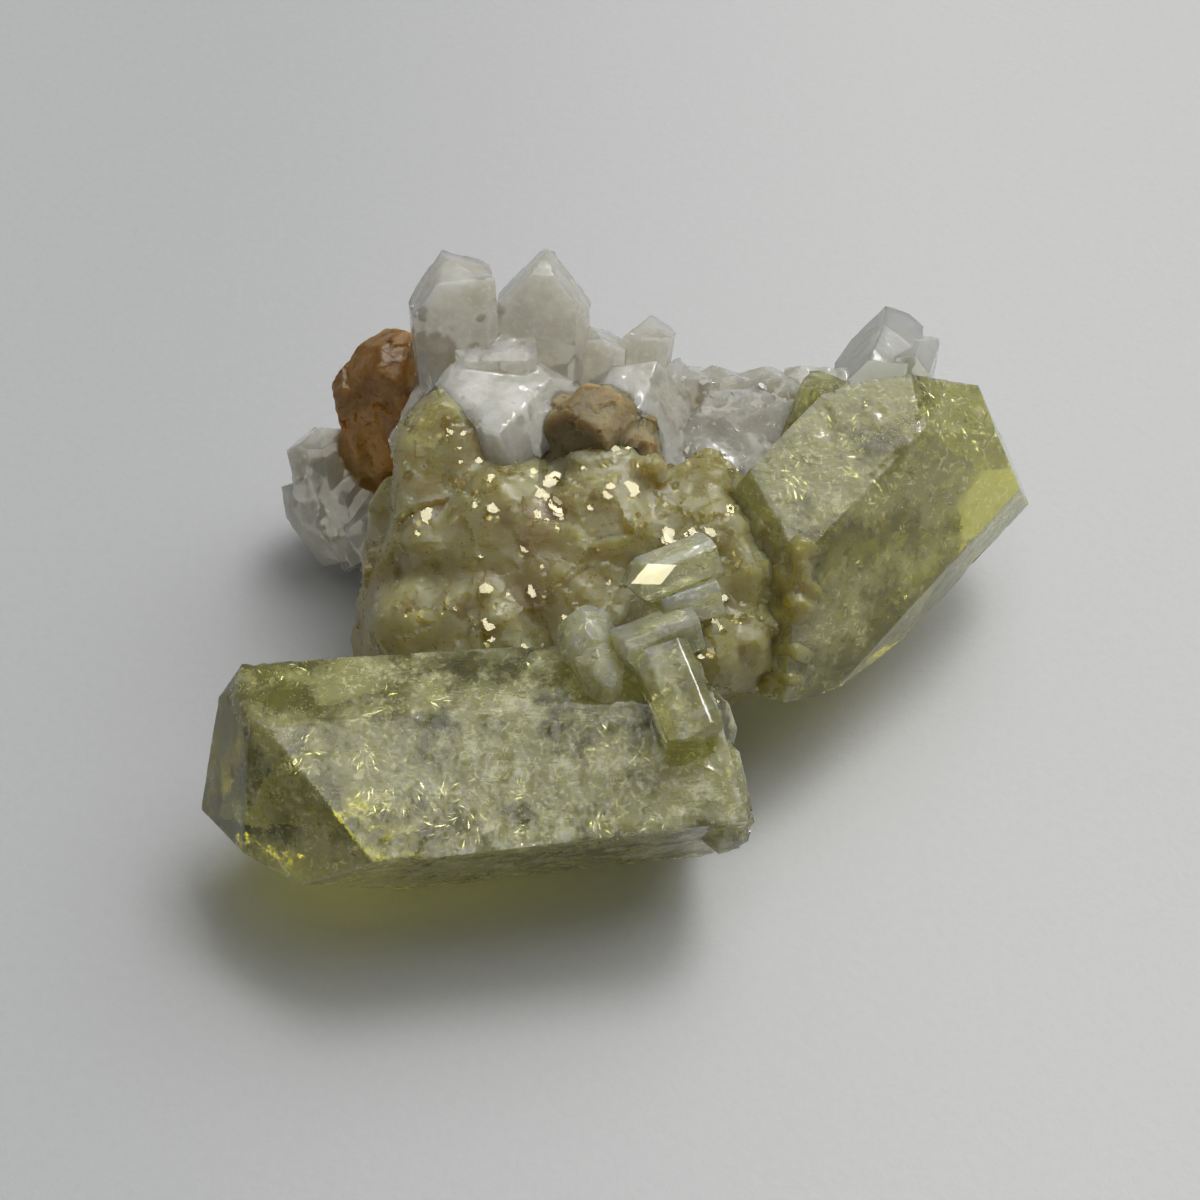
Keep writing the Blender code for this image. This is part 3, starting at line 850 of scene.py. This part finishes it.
# Small clear grains on the cluster, then the flat faces of parallel crystals that flash together
ON_TOP = lambda at, out: np.clip(out[:, 2], 0, 1) * (at[:, 2] > 0.004)
FLASH = Vector((0.202, -0.192, 0.961))
spots, outs = spots_on(cluster, 260, 64, ON_TOP)
chance = np.random.default_rng(65)
sizes = 0.15 + 0.45 * chance.random(len(spots)) ** 2.0
crust = grown_over(
    "druse_crust", spots - outs * (0.45 * sizes * MM)[:, None], pointing(outs, 66), sizes, crystal_kinds(12, 68, 1.0), 67
)
spots, outs = spots_on(
    cluster,
    80,
    69,
    lambda at, out: np.clip(out @ np.array(FLASH) - 0.6, 0, 1) * (at[:, 2] > 0.004) * ease(noise(at, 2.8, 66), -0.1, 0.4),
)
sizes = 0.22 + 0.65 * chance.random(len(spots)) ** 1.8
leans = [
    Euler(chance.normal(size=3) * 0.03).to_quaternion() @ FLASH.to_track_quat("Z", "Y") for k in range(len(spots))
]
flat = crystal_kinds(16, 68, 0.14, 0.4, ((0, 0, 1),) * 3)
flashes = grown_over("druse_faces", spots, leans, sizes, flat, 71)
finish_piece(flashes, glitter, "cluster_brazilianite")
bright = diamonds(
    "bright_prism_face",
    np.array([(0.9, -4.3, 15.15)]) * MM,
    np.array([(0.86, 0.50, 0.0)]),
    np.array([FLASH[:]]),
    np.array([2.4]),
    np.array([1.15]),
    0.06,
)
finish_piece(bright, glitter, "pale_brazilianite")
cluster_veils = feathers("cluster_veils", cluster, (), 60, 15, KEY_LEAN, UP_FACING)
finish_piece(cluster_veils, silver, "cluster_brazilianite")
finish_piece(cluster, druse, "cluster_brazilianite", "brazilianite_cluster")
finish_piece(crust, glitter, "cluster_brazilianite")

# The albite: blades with crisp edges, and a sugary crust on the ridge and the lower left
albite = fine_copy("albite_matrix", "albite_shown", 0.25)
bond(
    albite,
    "brazilianite_cluster",
    "brazilianite_front_crystal",
    "brazilianite_right_crystal",
    "stained_albite_crystals",
    "stained_albite_knob",
    "clear_albite_crystal",
)
points, normals = read_points(albite)
off_floor = ease(points[:, 2] / MM, 0.1, 0.6)
near = edge_distance(points, sharp_edges("albite_matrix", 20.0)) / MM
rough = 0.05 * facets(points, 1.3, 71) + 0.04 * noise(points, 1.8, 72)
rough -= ease(noise(points, 1.0, 75), 0.1, 0.5) * (1 - ease(near, 0.0, 0.4)) * 0.10
write_points(albite, points + normals * (rough * off_floor * MM)[:, None])
crisp(albite, 22.0)
spots, outs = spots_on(
    albite,
    1100,
    74,
    lambda at, out: np.clip(out[:, 2] + 0.5, 0, 1) * (at[:, 2] > 0.002) * (0.05 + ease(at[:, 0] / MM, 1.5, 4)),
)
chance = np.random.default_rng(76)
sizes = 0.12 + 0.42 * chance.random(len(spots)) ** 2.2
ups = outs + np.array((0.0, 0.2, 0.5)) + chance.normal(size=outs.shape) * 0.3
sugar = grown_over(
    "albite_grains", spots - outs * (0.58 * sizes * MM)[:, None], pointing(ups, 77), sizes, crystal_kinds(12, 78, 0.8), 79
)
finish_piece(albite, white, "albite", "albite_matrix")
finish_piece(sugar, sugary, "albite")

# The brown crystals: mesh size, softening and relief of each
for node, skin in (("stained_albite_crystals", brown), ("stained_albite_knob", rusty)):
    made = fused(node + "_shown", 0.13, welded(node))
    soften(made, 3)
    bond(made, "brazilianite_cluster", "albite_matrix")
    points, normals = read_points(made)
    rough = 0.12 * noise(points, 1.2, 81) + 0.12 * facets(points, 0.9, 82)
    write_points(made, points + normals * (rough * MM)[:, None])
    crisp(made, 30.0)
    finish_piece(made, skin, "stained_albite", node)

# The clear crystal at the back, with growth lines up its sides
clear = fine_copy("clear_albite_crystal", "clear_albite_crystal_shown", 0.14, 0.0, 90.0)
bond(clear, "brazilianite_right_crystal", "albite_matrix")
points, normals = read_points(clear)
rough = 0.04 * noise(along_axis(points, 0.0, 90.0, 10.0), 0.5, 83) + 0.05 * noise(points, 1.4, 84)
write_points(clear, points + normals * (rough * MM)[:, None])
crisp(clear)
finish_piece(clear, colourless, "clear_albite", "clear_albite_crystal")

# Floor, light and camera ------------------------------------------------------


def paper_floor():
    """A wide sheet of pale paper, with painted shade that darkens it towards -X."""
    bpy.ops.mesh.primitive_grid_add(x_subdivisions=60, y_subdivisions=60, size=1.2, location=(0, 0, 0))
    floor = bpy.context.object
    floor.name = "paper_floor"
    made, tree, shader = material("paper", Roughness=0.85)
    shader.inputs["Specular IOR Level"].default_value = 0.2
    place = place_vector(tree)
    grain = noise_value(tree, place, 0.5, 3.0, 0.6)
    painted_shade_x = add_node(tree, "ShaderNodeSeparateXYZ", {"Vector": place}).outputs["X"]
    # painted shade: the paper darkens towards -X and brightens towards +X, a falloff of light painted into its colour
    painted_falloff = spread(tree, painted_shade_x, -30.0, 24.0)
    left = blend(tree, grain, (0.40, 0.405, 0.41), (0.435, 0.44, 0.445))
    right = blend(tree, grain, (0.52, 0.525, 0.525), (0.56, 0.565, 0.56))
    floor_colour = add_node(tree, "ShaderNodeMix", {0: painted_falloff, 6: left, 7: right}, data_type="RGBA")
    tree.links.new(floor_colour.outputs[2], shader.inputs["Base Color"])
    bumps(tree, shader, [(grain, 0.4, 0.06)])
    floor.data.materials.append(made)


def soft_light():
    """A dim room with one broad soft light overhead and a brighter core at the back right."""
    world = bpy.data.worlds.new("studio")
    bpy.context.scene.world = world
    world.use_nodes = True
    tree = world.node_tree
    where = add_node(tree, "ShaderNodeTexCoord").outputs["Generated"]

    def lobe(direction, inner, outer, strength):
        dot = add_node(
            tree, "ShaderNodeVectorMath", {0: where, 1: Vector(direction).normalized()}, operation="DOT_PRODUCT"
        )
        return spread(
            tree, dot.outputs["Value"], math.cos(math.radians(outer)), math.cos(math.radians(inner)), 0.0, strength
        )

    broad = lobe((0.42, 0.36, 0.83), 16, 38, 2.7)
    core = lobe((0.33, 0.33, 0.88), 6, 12, 13.0)
    fill = lobe((-0.12, -0.12, 0.985), 3, 12, 2.2)
    total = add_node(tree, "ShaderNodeMath", {0: broad, 1: core}, operation="ADD").outputs[0]
    total = add_node(tree, "ShaderNodeMath", {0: total, 1: fill}, operation="ADD").outputs[0]
    total = add_node(tree, "ShaderNodeMath", {0: total, 1: 0.19}, operation="ADD").outputs[0]
    background = tree.nodes["Background"]
    background.inputs["Color"].default_value = (1.0, 1.0, 0.99, 1.0)
    tree.links.new(total, background.inputs["Strength"])
    world.cycles.sampling_method = "MANUAL"
    world.cycles.sample_map_resolution = 128


def photo_camera():
    """The camera at the height and distance that the photograph was taken from."""
    elevation, distance, half_width = math.radians(50), 0.125, 0.2328
    target = LAYOUT_SHIFT * MM + Vector((0, 0, 6 * MM))
    back = Vector((0, -math.cos(elevation), math.sin(elevation)))
    data = bpy.data.cameras.new("photo_camera")
    data.sensor_width = 36.0
    data.lens = 18.0 / half_width
    data.clip_start = 0.005
    data.clip_end = 20.0
    camera = linked("photo_camera", data)
    camera.location = target + back * distance
    camera.rotation_euler = (-back).to_track_quat("-Z", "Y").to_euler()
    bpy.context.scene.camera = camera


paper_floor()
soft_light()
photo_camera()
cycles = bpy.context.scene.cycles
cycles.max_bounces = 5
cycles.transmission_bounces = 5
cycles.diffuse_bounces = 3
cycles.glossy_bounces = 4
bpy.context.scene.view_settings.view_transform = "Standard"
bpy.context.view_layer.update()
